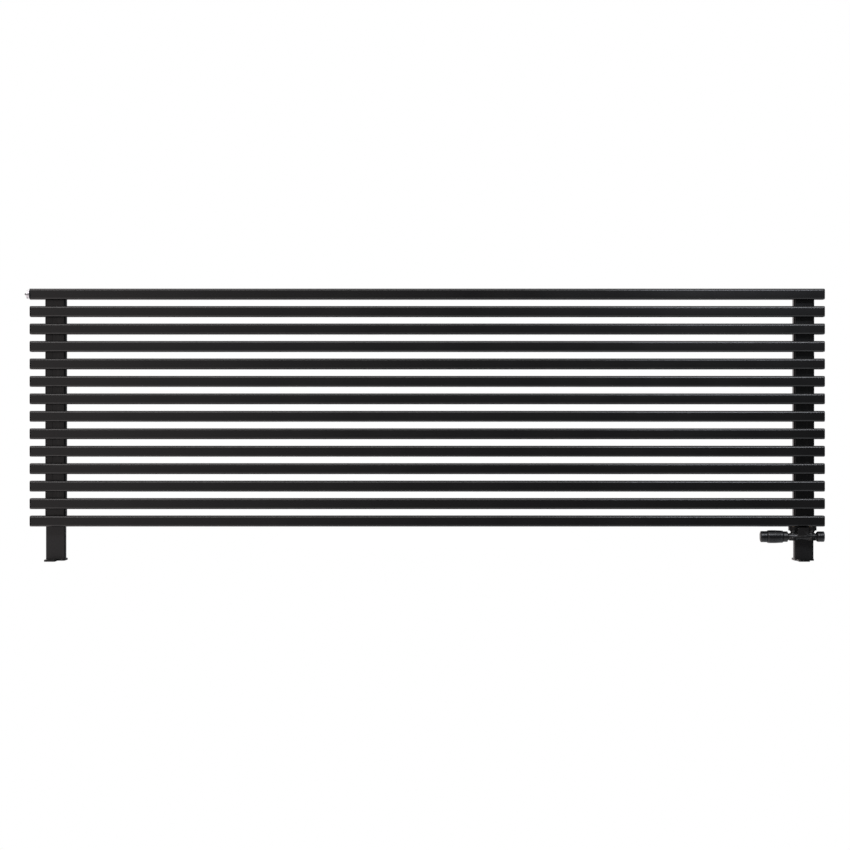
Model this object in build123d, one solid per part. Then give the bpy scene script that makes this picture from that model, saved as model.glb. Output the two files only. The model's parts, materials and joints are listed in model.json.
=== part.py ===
"""A long horizontal tube radiator that stands on two legs.

Fourteen square bars lie in front of two upright collectors. A twin-port valve block hangs
under the right end of the bottom bar, with a thermostatic head on its left and a lockshield
on its right. All lengths are millimetres. X runs along the bars, Y runs to the back and Z
runs up. The origin lies on the floor, in the middle of the four anchor holes of the feet.
"""

import math
import os

from build123d import *

# Bars
bar_count = 14
bar_length = 2184.0
bar_side = 30.0
bar_wall = 1.5
bar_corner = 6.0
bar_gap = 18.0

# Collectors, placed from the bars' ends and set off from the middle of the anchor holes
left_collector_from_end = 66.0
right_collector_from_end = 52.2
collector_shift = 7.7
collector_width = 57.0
collector_depth = 30.0
collector_wall = 2.0
collector_corner = 5.0
collector_inset = 3.0

# Plates that close the tubes, and the water's way between them
cap_thickness = 3.0
cap_step = 2.5
cap_step_clearance = 0.2
flow_hole_radius = 8.0
return_hole_shift = 10.0
divider_thickness = 3.0

# Legs and feet
floor_gap = 95.0
leg_width = 53.0
leg_depth = 25.0
leg_wall = 2.0
leg_corner = 3.0
spigot_clearance = 0.2
spigot_wall = 4.0
spigot_length = 40.0
screw_radius = 3.0
screw_head_radius = 5.5
screw_head_height = 3.0
screw_head_round = 1.8
screw_length = 10.0
screw_pitch = 18.0
screw_hole_clearance = 0.3
screw_key_across = 4.0
screw_key_depth = 1.8
foot_length = 104.0
foot_thickness = 5.0
foot_corner = 4.0
anchor_pitch = 84.0
anchor_hole_radius = 4.5
pipe_radius = 8.0
pipe_clearance = 2.0

# Clearances that several fits share
thread_clearance = 0.05
running_clearance = 0.08
loose_clearance = 0.3

# Ports and unions under the bottom bar
port_pitch = 50.0
socket_radius = 11.0
socket_length = 14.0
tail_radius = 8.3
tail_bore = 6.0
tail_reach = 12.0
tail_flange_radius = 10.1
tail_flange = 2.2
gasket_thickness = 1.3
nut_gap = 0.5
nut_height = 10.5
nut_lip = 2.5
nut_across = 25.6
nut_chamfer = 1.0
union_thread_radius = 10.4

# Valve block
valve_drop = 28.0
block_radius = 10.5
block_half_length = 34.0
tower_neck_radius = 7.5
tower_bore = 5.5
tower_cone = 4.0
port_boss_radius = 12.0
port_thread_radius = 9.3
port_thread_depth = 5.0
port_thread_wall = 0.6
port_drill_radius = 4.5
chamber_radius = 5.6
seat_radius = 4.0
seat_at = 17.0
core_web = 3.0
riser_radius = 3.0
riser_at = 8.0
web_depth = 11.0
bridge_width = 21.0
bridge_top_gap = 2.0
shield_width = 31.6
shield_height = 20.5
shield_thickness = 4.0
shield_corner = 5.0
shield_gap = 0.5

# Thermostatic side, measured outwards along the valve's axis
thermo_neck_radius = 9.5
thermo_neck_end = 41.5
head_thread_radius = 12.0
head_thread_length = 6.5
insert_radius = 7.5
insert_nose = 4.0
insert_nose_radius = 6.4
spring_cavity_radius = 5.2
spring_cavity_end = 45.0
pin_radius = 1.5
pin_end = 56.0
pin_stroke = 1.2
pin_collar_radius = 4.8
pin_collar = 1.2
pin_button_radius = 2.4
pin_button = 1.0
disc_radius = 5.2
disc_thickness = 3.0
disc_plate = 1.2
gland_radius = 3.5
gland_length = 3.2
spring_seat = 1.0
return_spring_radius = 3.4
return_spring_wire = 0.8
return_spring_turns = 4

# Thermostatic head
collar_radius = 14.5
collar_end = 53.0
collar_lip = 2.4
collar_chamfer = 1.0
core_flange_radius = 11.8
core_flange = 2.0
core_radius = 9.9
core_bore = 7.6
core_end = 95.0
core_slot = 4.4
core_slot_length = 6.0
retainer_at = 92.5
retainer_thickness = 1.2
retainer_groove = 0.7
retainer_stand = 1.4
pusher_radius = 7.4
pusher_length = 4.0
pusher_stem_radius = 4.0
piston_radius = 3.0
piston_length = 6.0
sensor_length = 20.0
overtravel_spring_radius = 5.2
overtravel_spring_wire = 1.2
overtravel_spring_turns = 3
carrier_nose_at = 92.0
carrier_lug = 3.8
carrier_lug_inset = 1.0
carrier_gap = 0.4
carrier_radius = 12.5
carrier_thickness = 5.0
grip_radius = 17.8
grip_inner_end_radius = 16.4
grip_end = 97.0
grip_start_gap = 0.4
grip_spigot_radius = 14.0
grip_spigot_length = 7.0
grip_flutes = 18
grip_flute_radius = 1.5
grip_flute_depth = 0.6
grip_flute_margin = 5.0
grip_edge = 1.5
tip_radius = 15.4
tip_end = 116.0
tip_wall = 3.0
tip_edge = 3.0

# Lockshield side, measured outwards along the valve's axis
shield_neck_radius = 9.0
shield_neck_end = 44.0
shield_insert_radius = 7.0
shield_insert_flange = 2.0
shield_insert_flange_radius = 8.6
shield_nose_from = 24.5
shield_nose_radius = 5.4
shield_carrier_side = 6.6
shield_carrier_length = 6.5
shield_disc_radius = 5.2
shield_disc_thickness = 2.8
shield_stroke = 1.0
shield_thread_radius = 2.2
shield_spindle_radius = 3.0
shield_collar_radius = 4.6
shield_collar = 1.5
shield_seal_radius = 4.2
shield_seal = 2.0
shield_spindle_end = 51.0
shield_key_across = 3.0
shield_key_depth = 5.0
clip_groove = 0.7
clip_thickness = 1.0
clip_stand = 1.5
lock_cap_from = 38.0
lock_cap_end = 59.8
lock_cap_radius = 14.5
lock_cap_wall = 2.0
lock_cap_grip = 5.0
lock_cap_cone = 3.5
lock_cap_edge = 1.5

# Air vent, measured outwards from the left end of the top bar
vent_thread_radius = 10.4
vent_boss_radius = 13.0
vent_boss_length = 7.0
vent_thread_length = 9.0
vent_gasket = 1.5
vent_gasket_radius = 12.4
vent_flange = 4.5
vent_flange_radius = 12.8
vent_flange_edge = 1.0
vent_nose_radius = 6.5
vent_nose = 6.0
vent_bore = 3.0
vent_throat = 1.5
vent_drain_radius = 1.0
vent_collar_radius = 10.0
vent_collar_width = 4.6
vent_collar_groove = 0.8
vent_nozzle_radius = 1.8
vent_nozzle_stand = 1.8
vent_nozzle_bore = 0.9
vent_screw_head = 3.2
vent_screw_head_side = 4.2
vent_screw_inner_length = 12.0

# Places that follow from the sizes above
bar_pitch = bar_side + bar_gap
bars_bottom = floor_gap
bars_top = bars_bottom + (bar_count - 1) * bar_pitch + bar_side
anchor_x = (bar_length - left_collector_from_end - right_collector_from_end) / 2
left_collector_x = collector_shift - anchor_x
right_collector_x = collector_shift + anchor_x
bars_left = left_collector_x - left_collector_from_end
bars_right = right_collector_x + right_collector_from_end
bar_y = -bar_side / 2
collector_y = collector_depth / 2
insert_at = port_pitch / 2 + port_thread_radius + port_thread_wall
valve_x = anchor_x
axis_z = bars_bottom - valve_drop
nut_top = bars_bottom - nut_gap
nut_bottom = nut_top - nut_height
tower_top = nut_top - nut_lip - tail_flange - gasket_thickness
upper = (Align.CENTER, Align.CENTER, Align.MIN)


def rod(start, end, radius):
    """A round bar along X from start to end."""
    return Pos(start, 0, 0) * Rot(0, 90, 0) * Cylinder(radius, end - start, align=upper)


def cone(start, end, start_radius, end_radius):
    """A cone along X from start to end."""
    return Pos(start, 0, 0) * Rot(0, 90, 0) * Cone(start_radius, end_radius, end - start, align=upper)


def post(low, high, radius):
    """An upright round bar from low to high."""
    return Pos(0, 0, low) * Cylinder(radius, high - low, align=upper)


def block(low, high):
    """A box between two opposite corners."""
    size = [b - a for a, b in zip(low, high)]
    return Pos(*low) * Box(*size, align=(Align.MIN, Align.MIN, Align.MIN))


def hexagon(across, depth):
    """A hexagonal bar along X, from 0 to depth, with two flats facing Z."""
    return extrude(Plane.YZ * RegularPolygon(across / 2, 6, major_radius=False), depth)


def coil(start, end, radius, wire, turns):
    """A compression spring along X, whose wire starts and ends inside its two seats' planes."""
    height = end - start - wire - 2 * thread_clearance
    path = Helix(height / turns, height, radius)
    section = Plane(path @ 0, z_dir=path % 0) * Circle(wire / 2)
    return Pos(start + wire / 2 + thread_clearance, 0, 0) * Rot(0, 90, 0) * sweep(section, path)


def rounded_tube(width, depth, wall, corner, length):
    """An upright rectangular tube with rounded corners, standing on Z = 0."""
    inner_corner = max(corner - wall, wall / 4)
    outside = RectangleRounded(width, depth, corner)
    inside = RectangleRounded(width - 2 * wall, depth - 2 * wall, inner_corner)
    return extrude(outside - inside, length)


def tube_cap(width, depth, wall, corner):
    """A plate that closes a tube, with its step reaching below Z = 0 into the tube."""
    inner_corner = max(corner - wall, wall / 4)
    slack = 2 * wall + 2 * cap_step_clearance
    step = RectangleRounded(width - slack, depth - slack, inner_corner)
    plate = extrude(RectangleRounded(width, depth, corner), cap_thickness)
    return plate + extrude(step, -cap_step)


def bar_bottom_z(number):
    """The underside of a bar. Bar 1 is the top one."""
    return bars_bottom + (bar_count - number) * bar_pitch


def flow_hole_places(number):
    """Where a bar opens into the collectors, along X."""
    if number == bar_count:
        return [left_collector_x, right_collector_x + return_hole_shift]
    return [left_collector_x, right_collector_x]


def port_places():
    """The two ports of the bottom bar, supply first, along X."""
    return [valve_x - port_pitch / 2, valve_x + port_pitch / 2]


def flow_drill(x, z):
    """The drill that opens a bar's back and a collector's front at one place."""
    reach = 2 * max(bar_wall, collector_wall) + 2 * bar_corner
    return Pos(x, 0, z) * Rot(90, 0, 0) * Cylinder(flow_hole_radius, reach)


def bar(number):
    """One square bar, drilled at both collectors. The bottom one also takes the two sockets."""
    tube_length = bar_length - 2 * cap_thickness
    tube = rounded_tube(bar_side, bar_side, bar_wall, bar_corner, tube_length)
    middle_z = bar_bottom_z(number) + bar_side / 2
    made = Pos(bars_left + cap_thickness, bar_y, middle_z) * Rot(0, 90, 0) * tube
    for x in flow_hole_places(number):
        made -= flow_drill(x, middle_z)
    if number == bar_count:
        for x in port_places():
            drill = post(bars_bottom - bar_wall, bars_bottom + 2 * bar_wall, socket_radius)
            made -= Pos(x, bar_y, 0) * drill
    return made


def bar_cap(number, side):
    """The welded plate at one end of a bar. Side is -1 at the left and 1 at the right."""
    end_x = bars_left + cap_thickness if side < 0 else bars_right - cap_thickness
    plate = tube_cap(bar_side, bar_side, bar_wall, bar_corner)
    return Pos(end_x, bar_y, bar_bottom_z(number) + bar_side / 2) * Rot(0, 90 * side, 0) * plate


def collector(x):
    """One upright collector tube, drilled where the bars join it."""
    low = bars_bottom + collector_inset + cap_thickness
    high = bars_top - collector_inset - cap_thickness
    tube = rounded_tube(collector_width, collector_depth, collector_wall, collector_corner, high - low)
    made = Pos(x, collector_y, low) * tube
    for number in range(1, bar_count + 1):
        hole_x = min(flow_hole_places(number), key=lambda place: abs(place - x))
        made -= flow_drill(hole_x, bar_bottom_z(number) + bar_side / 2)
    return made


def collector_plates():
    """The four plates that close the collectors."""
    plate = tube_cap(collector_width, collector_depth, collector_wall, collector_corner)
    low = bars_bottom + collector_inset + cap_thickness
    high = bars_top - collector_inset - cap_thickness
    made = []
    for x in (left_collector_x, right_collector_x):
        made.append(Pos(x, collector_y, high) * plate)
        made.append(Pos(x, collector_y, low) * Rot(180, 0, 0) * plate)
    return made


def divider():
    """The plate inside the bottom bar that keeps supply and return apart."""
    side = bar_side - 2 * bar_wall
    corner = max(bar_corner - bar_wall, bar_wall / 4) + thread_clearance
    section = Plane.YZ * RectangleRounded(side, side, corner)
    plate = extrude(section, divider_thickness / 2, both=True)
    return Pos(valve_x, bar_y, bars_bottom + bar_side / 2) * plate


def socket(x):
    """A threaded socket, flush with the underside of the bottom bar."""
    made = post(0, socket_length, socket_radius) - post(0, socket_length, tail_radius + thread_clearance)
    return Pos(x, bar_y, bars_bottom) * made


def tail(x):
    """The hollow tail that screws into a socket, with the flange that the union nut pulls down."""
    flange_low = tower_top + gasket_thickness
    made = post(flange_low, flange_low + tail_flange, tail_flange_radius)
    made += post(flange_low, bars_bottom + tail_reach, tail_radius)
    made -= post(flange_low, bars_bottom + tail_reach, tail_bore)
    return Pos(x, bar_y, 0) * made


def union_gasket(x):
    """The flat ring between a tail's flange and the tower of the block."""
    high = tower_top + gasket_thickness
    made = post(tower_top, high, tail_flange_radius - thread_clearance) - post(tower_top, high, tail_bore)
    return Pos(x, bar_y, 0) * made


def union_nut(x):
    """A hexagon nut with a lip over the tail's flange. Two flats face left and right."""
    outline = RegularPolygon(nut_across / 2, 6, major_radius=False, rotation=30)
    body = extrude(outline, nut_height)
    turned = Cylinder(nut_across / math.sqrt(3), nut_height, align=upper)
    body &= chamfer(turned.edges().filter_by(GeomType.CIRCLE), nut_chamfer)
    body -= post(0, nut_height - nut_lip, union_thread_radius + thread_clearance)
    body -= post(0, nut_height, tail_radius + loose_clearance)
    return Pos(x, bar_y, nut_bottom) * body


def valve_block():
    """The cast block: two towers, two pipe ports below, a bridge and a bore along X at each side."""
    made = rod(-block_half_length, block_half_length, block_radius)
    made += rod(-thermo_neck_end, 0, thermo_neck_radius)
    made += rod(-thermo_neck_end - head_thread_length, -thermo_neck_end, head_thread_radius)
    made += rod(0, shield_neck_end, shield_neck_radius)
    tower_high = tower_top - axis_z
    cone_low = nut_bottom - axis_z - tower_cone
    web_top = nut_bottom - axis_z - nut_chamfer
    nut_corner = nut_across / math.sqrt(3)
    shield_back = -nut_corner - shield_gap
    bridge_top = nut_top - axis_z - bridge_top_gap
    for side in (-1, 1):
        place = Pos(side * port_pitch / 2, 0, 0)
        made += place * post(-block_radius, 0, port_boss_radius)
        made += place * post(0, tower_high, tower_neck_radius)
        made += place * Pos(0, 0, cone_low) * Cone(
            tower_neck_radius, union_thread_radius, tower_cone, align=upper
        )
        made += place * post(cone_low + tower_cone, tower_high, union_thread_radius)
    made += block((-port_pitch / 2, -web_depth / 2, 0), (port_pitch / 2, web_depth / 2, web_top))
    made += block((-bridge_width / 2, shield_back, 0), (bridge_width / 2, web_depth / 2, bridge_top))
    outline = Plane.XZ * Pos(0, bridge_top - shield_height / 2) * RectangleRounded(
        shield_width, shield_height, shield_corner
    )
    made += Pos(0, shield_back, 0) * extrude(outline, shield_thickness)
    for side in (-1, 1):
        outwards = Rot(0, 0, 90 * (1 - side))
        end = shield_neck_end if side > 0 else thermo_neck_end + head_thread_length
        thread_radius = shield_insert_radius if side > 0 else insert_radius
        made -= outwards * rod(core_web / 2, seat_at, seat_radius)
        made -= outwards * rod(seat_at, insert_at, chamber_radius)
        made -= outwards * rod(insert_at, end, thread_radius + thread_clearance)
        channel_z = chamber_radius + riser_radius + tower_bore / 2
        place = Pos(side * port_pitch / 2, 0, 0)
        made -= place * post(-block_radius, -block_radius + port_thread_depth, port_thread_radius)
        made -= place * post(-block_radius, 0, port_drill_radius)
        made -= place * post(channel_z - riser_radius, tower_high, tower_bore)
        made -= Pos(side * riser_at, 0, 0) * post(0, channel_z, riser_radius)
        made -= outwards * Pos(0, 0, channel_z) * rod(riser_at, port_pitch / 2, riser_radius)
        made -= Pos(side * riser_at, 0, channel_z) * Sphere(riser_radius)
    return made


def thermo_insert():
    """The brass cartridge that guides the pin and holds its spring."""
    head_thread_end = thermo_neck_end + head_thread_length
    nose_end = head_thread_end + insert_nose
    made = rod(insert_at, head_thread_end, insert_radius)
    made += rod(head_thread_end, nose_end, insert_nose_radius)
    made -= rod(insert_at, spring_cavity_end, spring_cavity_radius)
    made -= rod(spring_cavity_end, nose_end, pin_radius + running_clearance)
    made -= rod(nose_end - gland_length, nose_end, gland_radius)
    return made


def thermo_gland():
    """The packing ring that seals the pin at the cartridge's outer end."""
    nose_end = thermo_neck_end + head_thread_length + insert_nose
    made = rod(nose_end - gland_length, nose_end, gland_radius - thread_clearance)
    return made - rod(nose_end - gland_length, nose_end, pin_radius + running_clearance)


def thermo_spring_seat():
    """The ring at the cartridge's inner end that the return spring pushes against."""
    made = rod(insert_at, insert_at + spring_seat, spring_cavity_radius - thread_clearance)
    return made - rod(insert_at, insert_at + spring_seat, pin_radius + loose_clearance)


def disc_face():
    """The washer's face at rest, half way between closed and fully open."""
    return seat_at + pin_stroke + thread_clearance


def pin_collar_at():
    """The inner face of the pin's collar, which the spring pushes outwards."""
    return spring_cavity_end - pin_stroke - pin_collar - loose_clearance


def thermo_pin():
    """The pin, with its plate and button round the washer and its collar on the spring."""
    made = rod(disc_face() - pin_button, pin_end, pin_radius)
    made += rod(disc_face() - pin_button, disc_face(), pin_button_radius)
    plate_at = disc_face() + disc_thickness
    made += rod(plate_at, plate_at + disc_plate, disc_radius)
    made += rod(pin_collar_at(), pin_collar_at() + pin_collar, pin_collar_radius)
    return made


def thermo_washer():
    """The rubber washer that closes on the seat."""
    made = rod(disc_face(), disc_face() + disc_thickness, disc_radius)
    return made - rod(disc_face(), disc_face() + disc_thickness, pin_radius + thread_clearance)


def thermo_spring():
    """The return spring round the pin, between its seat and the pin's collar."""
    start = insert_at + spring_seat
    return coil(start, pin_collar_at(), return_spring_radius, return_spring_wire, return_spring_turns)


def core_flange_at():
    """Where the head's core meets the end of the block's thread."""
    return thermo_neck_end + head_thread_length + loose_clearance


def head_collar():
    """The collar nut that pulls the head's core onto the block."""
    made = rod(thermo_neck_end - grip_start_gap, collar_end, collar_radius)
    made = chamfer(made.edges().filter_by(GeomType.CIRCLE), collar_chamfer)
    made -= rod(0, thermo_neck_end, thermo_neck_radius + loose_clearance)
    made -= rod(thermo_neck_end, collar_end - collar_lip, head_thread_radius + thread_clearance)
    return made - rod(thermo_neck_end, collar_end, core_radius + thread_clearance)


def head_core():
    """The fixed sleeve that guides the sensor, flanged under the collar's lip."""
    start = core_flange_at()
    made = rod(start, start + core_flange, core_flange_radius)
    made += rod(start, core_end, core_radius)
    made -= rod(start, core_end, core_bore)
    slot_from = core_end - core_slot_length
    made -= block((slot_from, -core_radius, -core_slot / 2), (core_end, core_radius, core_slot / 2))
    groove_end = retainer_at + retainer_thickness
    groove = rod(retainer_at, groove_end, core_radius)
    return made - (groove - rod(retainer_at, groove_end, core_radius - retainer_groove))


def head_retainer():
    """The split ring in the core's groove that keeps the grip on."""
    low = retainer_at + thread_clearance
    high = retainer_at + retainer_thickness - thread_clearance
    outer = core_radius + retainer_stand
    made = rod(low, high, outer) - rod(low, high, core_radius - retainer_groove + thread_clearance)
    return made - block((low, 0, -core_slot / 2), (high, outer, core_slot / 2))


def head_pusher():
    """The guide between the sensor's piston and the valve's pin."""
    made = rod(pin_end, pin_end + pusher_length, pusher_stem_radius)
    return made + rod(pin_end + pusher_length / 2, pin_end + pusher_length, pusher_radius)


def sensor_at():
    """The inner face of the sensor's capsule."""
    return pin_end + pusher_length + piston_length


def head_sensor():
    """The wax capsule and its piston."""
    made = rod(pin_end + pusher_length, sensor_at(), piston_radius)
    return made + rod(sensor_at(), sensor_at() + sensor_length, pusher_radius)


def head_overtravel_spring():
    """The stiff spring behind the sensor that gives way once the valve is shut."""
    start = sensor_at() + sensor_length
    return coil(
        start, carrier_nose_at, overtravel_spring_radius, overtravel_spring_wire, overtravel_spring_turns
    )


def carrier_disc_at():
    """The inner face of the carrier's threaded disc."""
    return core_end + pin_stroke + carrier_gap


def head_carrier():
    """The threaded disc that turning the grip drives in or out, keyed in the core's slots."""
    disc_at = carrier_disc_at()
    lug_radius = core_radius - carrier_lug_inset
    made = rod(carrier_nose_at, disc_at, pusher_radius)
    key = block((carrier_nose_at, -lug_radius, -carrier_lug / 2), (disc_at, lug_radius, carrier_lug / 2))
    made += key & rod(carrier_nose_at, disc_at, lug_radius)
    return made + rod(disc_at, disc_at + carrier_thickness, carrier_radius)


def head_grip():
    """The fluted barrel that the hand turns, threaded inside at its outer end."""
    start = collar_end + grip_start_gap
    made = cone(start, grip_end, grip_inner_end_radius, grip_radius)
    made = fillet(made.edges().filter_by(GeomType.CIRCLE), grip_edge)
    made += rod(grip_end - grip_edge, grip_end + grip_spigot_length, grip_spigot_radius)
    made -= rod(start, grip_end, core_radius + running_clearance)
    thread_from = retainer_at - loose_clearance
    made -= rod(thread_from, grip_end + grip_spigot_length, carrier_radius + running_clearance)
    slope = math.degrees(math.atan2(grip_radius - grip_inner_end_radius, grip_end - start))
    flute_length = grip_end - start - 2 * grip_flute_margin
    middle = (grip_end + start) / 2
    surface = (grip_radius + grip_inner_end_radius) / 2
    flute = Rot(0, 90, 0) * Cylinder(grip_flute_radius, flute_length)
    flute += [Pos(side * flute_length / 2, 0, 0) * Sphere(grip_flute_radius) for side in (-1, 1)]
    flute = Pos(middle, 0, surface + grip_flute_radius - grip_flute_depth) * Rot(0, -slope, 0) * flute
    made -= [Rot(360 * n / grip_flutes, 0, 0) * flute for n in range(grip_flutes)]
    return made


def head_tip():
    """The narrower rounded end that closes the grip."""
    made = rod(grip_end, tip_end, tip_radius)
    made = fillet(made.edges().filter_by(GeomType.CIRCLE).sort_by(Axis.X)[-1], tip_edge)
    spigot_end = grip_end + grip_spigot_length
    made -= rod(grip_end, spigot_end, grip_spigot_radius + thread_clearance)
    return made - rod(spigot_end, tip_end - tip_wall, carrier_radius)


def shield_collar_end():
    """The outer face of the thrust collar of the lockshield spindle."""
    return insert_at + shield_collar + loose_clearance


def shield_carrier_from():
    """The lockshield disc's face at rest, half way through its travel."""
    return seat_at + shield_stroke + thread_clearance


def shield_carrier_back():
    """The outer end of the square part of the lockshield disc."""
    return shield_carrier_from() + shield_disc_thickness + shield_carrier_length


def lockshield_insert():
    """The brass cartridge that holds the spindle, with a square nose that keeps the disc from turning."""
    end = shield_neck_end + shield_insert_flange
    made = rod(shield_nose_from, insert_at, shield_nose_radius)
    made += rod(insert_at, shield_neck_end, shield_insert_radius)
    made += rod(shield_neck_end, end, shield_insert_flange_radius)
    half = shield_carrier_side / 2 + running_clearance
    made -= block((shield_nose_from, -half, -half), (insert_at, half, half))
    cavity_radius = shield_collar_radius + running_clearance
    made -= rod(insert_at - thread_clearance, shield_collar_end(), cavity_radius)
    made -= rod(insert_at, end, shield_spindle_radius + running_clearance)
    seal_end = end - shield_insert_flange
    return made - rod(seal_end - shield_seal, seal_end, shield_seal_radius)


def lockshield_seal():
    """The sealing ring round the spindle, inside the cartridge."""
    end = shield_neck_end
    made = rod(end - shield_seal, end, shield_seal_radius - thread_clearance)
    return made - rod(end - shield_seal, end, shield_spindle_radius + running_clearance)


def clip_at():
    """The inner face of the groove of the lockshield's clip."""
    return shield_neck_end + shield_insert_flange + thread_clearance


def lockshield_spindle():
    """The spindle that a hexagon key turns: thread, thrust collar, shaft and key socket."""
    made = rod(shield_carrier_from() + shield_disc_thickness, insert_at, shield_thread_radius)
    collar_from = insert_at + thread_clearance
    made += rod(insert_at, collar_from, shield_thread_radius)
    made += rod(collar_from, collar_from + shield_collar, shield_collar_radius)
    made += rod(collar_from, shield_spindle_end, shield_spindle_radius)
    made -= Pos(shield_spindle_end - shield_key_depth, 0, 0) * hexagon(shield_key_across, shield_key_depth)
    groove_end = clip_at() + clip_thickness
    groove = rod(clip_at(), groove_end, shield_spindle_radius)
    return made - (groove - rod(clip_at(), groove_end, shield_spindle_radius - clip_groove))


def lockshield_clip():
    """The split ring that holds the spindle in its cartridge."""
    low = clip_at() + thread_clearance
    high = clip_at() + clip_thickness - thread_clearance
    outer = shield_spindle_radius + clip_stand
    made = rod(low, high, outer) - rod(low, high, shield_spindle_radius - clip_groove + thread_clearance)
    return made - block((low, 0, -clip_groove), (high, outer, clip_groove))


def lockshield_disc():
    """The disc that the spindle's thread drives in or out of the seat, square behind."""
    start = shield_carrier_from()
    made = rod(start, start + shield_disc_thickness, shield_disc_radius)
    half = shield_carrier_side / 2
    made += block((start + shield_disc_thickness, -half, -half), (shield_carrier_back(), half, half))
    bore_from = start + shield_disc_thickness - shield_stroke - loose_clearance
    return made - rod(bore_from, shield_carrier_back(), shield_thread_radius + running_clearance)


def lockshield_cap():
    """The push-on cap over the lockshield."""
    mouth_radius = shield_neck_radius + lock_cap_wall
    made = cone(lock_cap_from, lock_cap_from + lock_cap_cone, mouth_radius, lock_cap_radius)
    made += rod(lock_cap_from + lock_cap_cone, lock_cap_end, lock_cap_radius)
    made = fillet(made.edges().filter_by(GeomType.CIRCLE).sort_by(Axis.X)[-1], lock_cap_edge)
    grip_to = lock_cap_from + lock_cap_grip
    made -= rod(lock_cap_from, grip_to, shield_neck_radius + running_clearance)
    return made - rod(grip_to, lock_cap_end - lock_cap_wall, lock_cap_radius - lock_cap_wall)


def vent_end_cap():
    """The plate at the left end of the top bar, with the threaded boss for the air vent."""
    made = bar_cap(1, -1)
    place = Pos(bars_left, bar_y, bar_bottom_z(1) + bar_side / 2)
    boss_end = cap_thickness + vent_boss_length
    made += place * rod(cap_thickness / 2, boss_end, vent_boss_radius)
    thread_radius = vent_thread_radius + thread_clearance
    return made - place * rod(-cap_thickness, boss_end + cap_thickness, thread_radius)


def vent_gasket_ring():
    """The sealing ring under the vent's flange."""
    hole = rod(0, vent_gasket, vent_thread_radius + thread_clearance)
    return rod(0, vent_gasket, vent_gasket_radius) - hole


def vent_body():
    """The vent's threaded plug, flange and nose, with its bore, throat and drain."""
    flange_end = vent_gasket + vent_flange
    made = rod(vent_gasket, flange_end, vent_flange_radius)
    made = fillet(made.edges().filter_by(GeomType.CIRCLE), vent_flange_edge)
    made += rod(-vent_thread_length, vent_gasket + vent_flange_edge, vent_thread_radius)
    made += rod(flange_end - vent_flange_edge, flange_end + vent_nose, vent_nose_radius)
    made -= rod(-vent_thread_length, flange_end + vent_nose, vent_throat)
    made -= rod(vent_screw_from(), flange_end + vent_nose, vent_bore + running_clearance)
    drain_x = flange_end + vent_collar_width / 2
    return made - Pos(drain_x, 0, 0) * Rot(180, 0, 0) * post(0, vent_nose_radius, vent_drain_radius)


def vent_screw_from():
    """The seat of the bleed screw inside the vent."""
    return vent_gasket + vent_flange + vent_nose - vent_screw_inner_length


def vent_swivel_collar():
    """The ring with the small outlet nozzle, which turns round the vent's nose."""
    start = vent_gasket + vent_flange + thread_clearance
    end = start + vent_collar_width
    inner = vent_nose_radius + running_clearance
    middle = (start + end) / 2
    nozzle = Pos(middle, 0, 0) * Rot(180, 0, 0)
    made = rod(start, end, vent_collar_radius)
    made += nozzle * post(0, vent_collar_radius + vent_nozzle_stand, vent_nozzle_radius)
    made -= rod(start, end, inner)
    made -= nozzle * post(0, vent_collar_radius + 2 * vent_nozzle_stand, vent_nozzle_bore)
    groove = vent_drain_radius
    return made - rod(middle - groove, middle + groove, inner + vent_collar_groove)


def vent_bleed_screw():
    """The square-headed screw that opens the vent."""
    end = vent_gasket + vent_flange + vent_nose
    start = vent_screw_from() + thread_clearance
    made = cone(start, start + vent_throat, vent_bore - vent_throat, vent_bore)
    made += rod(start + vent_throat, end, vent_bore)
    half = vent_screw_head_side / 2
    return made + block((end - vent_throat, -half, -half), (end + vent_screw_head, half, half))


def leg(x):
    """One leg: a rectangular tube from the foot plate up to the collector, drilled for its screws."""
    height = bars_bottom + collector_inset - foot_thickness
    tube = rounded_tube(leg_width, leg_depth, leg_wall, leg_corner, height)
    made = Pos(x, collector_y, foot_thickness) * tube
    for z in screw_heights():
        made -= Pos(x, collector_y + leg_depth / 2, z) * screw_drill(screw_radius + screw_hole_clearance)
    return made


def screw_heights():
    """The two leg screws, above and below the middle of the spigot."""
    middle = bars_bottom + collector_inset - spigot_length / 2
    return [middle - screw_pitch / 2, middle + screw_pitch / 2]


def screw_drill(radius):
    """A drill along Y, centred on a leg's back face and deep enough for its screw."""
    return Rot(90, 0, 0) * Cylinder(radius, 2 * (leg_wall + spigot_wall + spigot_clearance))


def leg_spigot(x):
    """The stub under a collector that the leg slides over."""
    width = leg_width - 2 * leg_wall - 2 * spigot_clearance
    depth = leg_depth - 2 * leg_wall - 2 * spigot_clearance
    corner = max(leg_corner - leg_wall, leg_wall / 4)
    low = bars_bottom + collector_inset - spigot_length
    made = rounded_tube(width, depth, spigot_wall, corner, spigot_length)
    made = Pos(x, collector_y, low) * made
    for z in screw_heights():
        made -= Pos(x, collector_y + leg_depth / 2, z) * screw_drill(screw_radius + thread_clearance)
    return made


def leg_screw(x, z):
    """A button-headed screw from behind, through a leg's back wall into its spigot."""
    made = rod(0, screw_head_height, screw_head_radius)
    made = fillet(made.edges().filter_by(GeomType.CIRCLE).sort_by(Axis.X)[-1], screw_head_round)
    made += rod(-screw_length, 0, screw_radius)
    made -= Pos(screw_head_height - screw_key_depth, 0, 0) * hexagon(screw_key_across, screw_key_depth)
    return Pos(x, collector_y + leg_depth / 2, z) * Rot(0, 0, 90) * made


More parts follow.
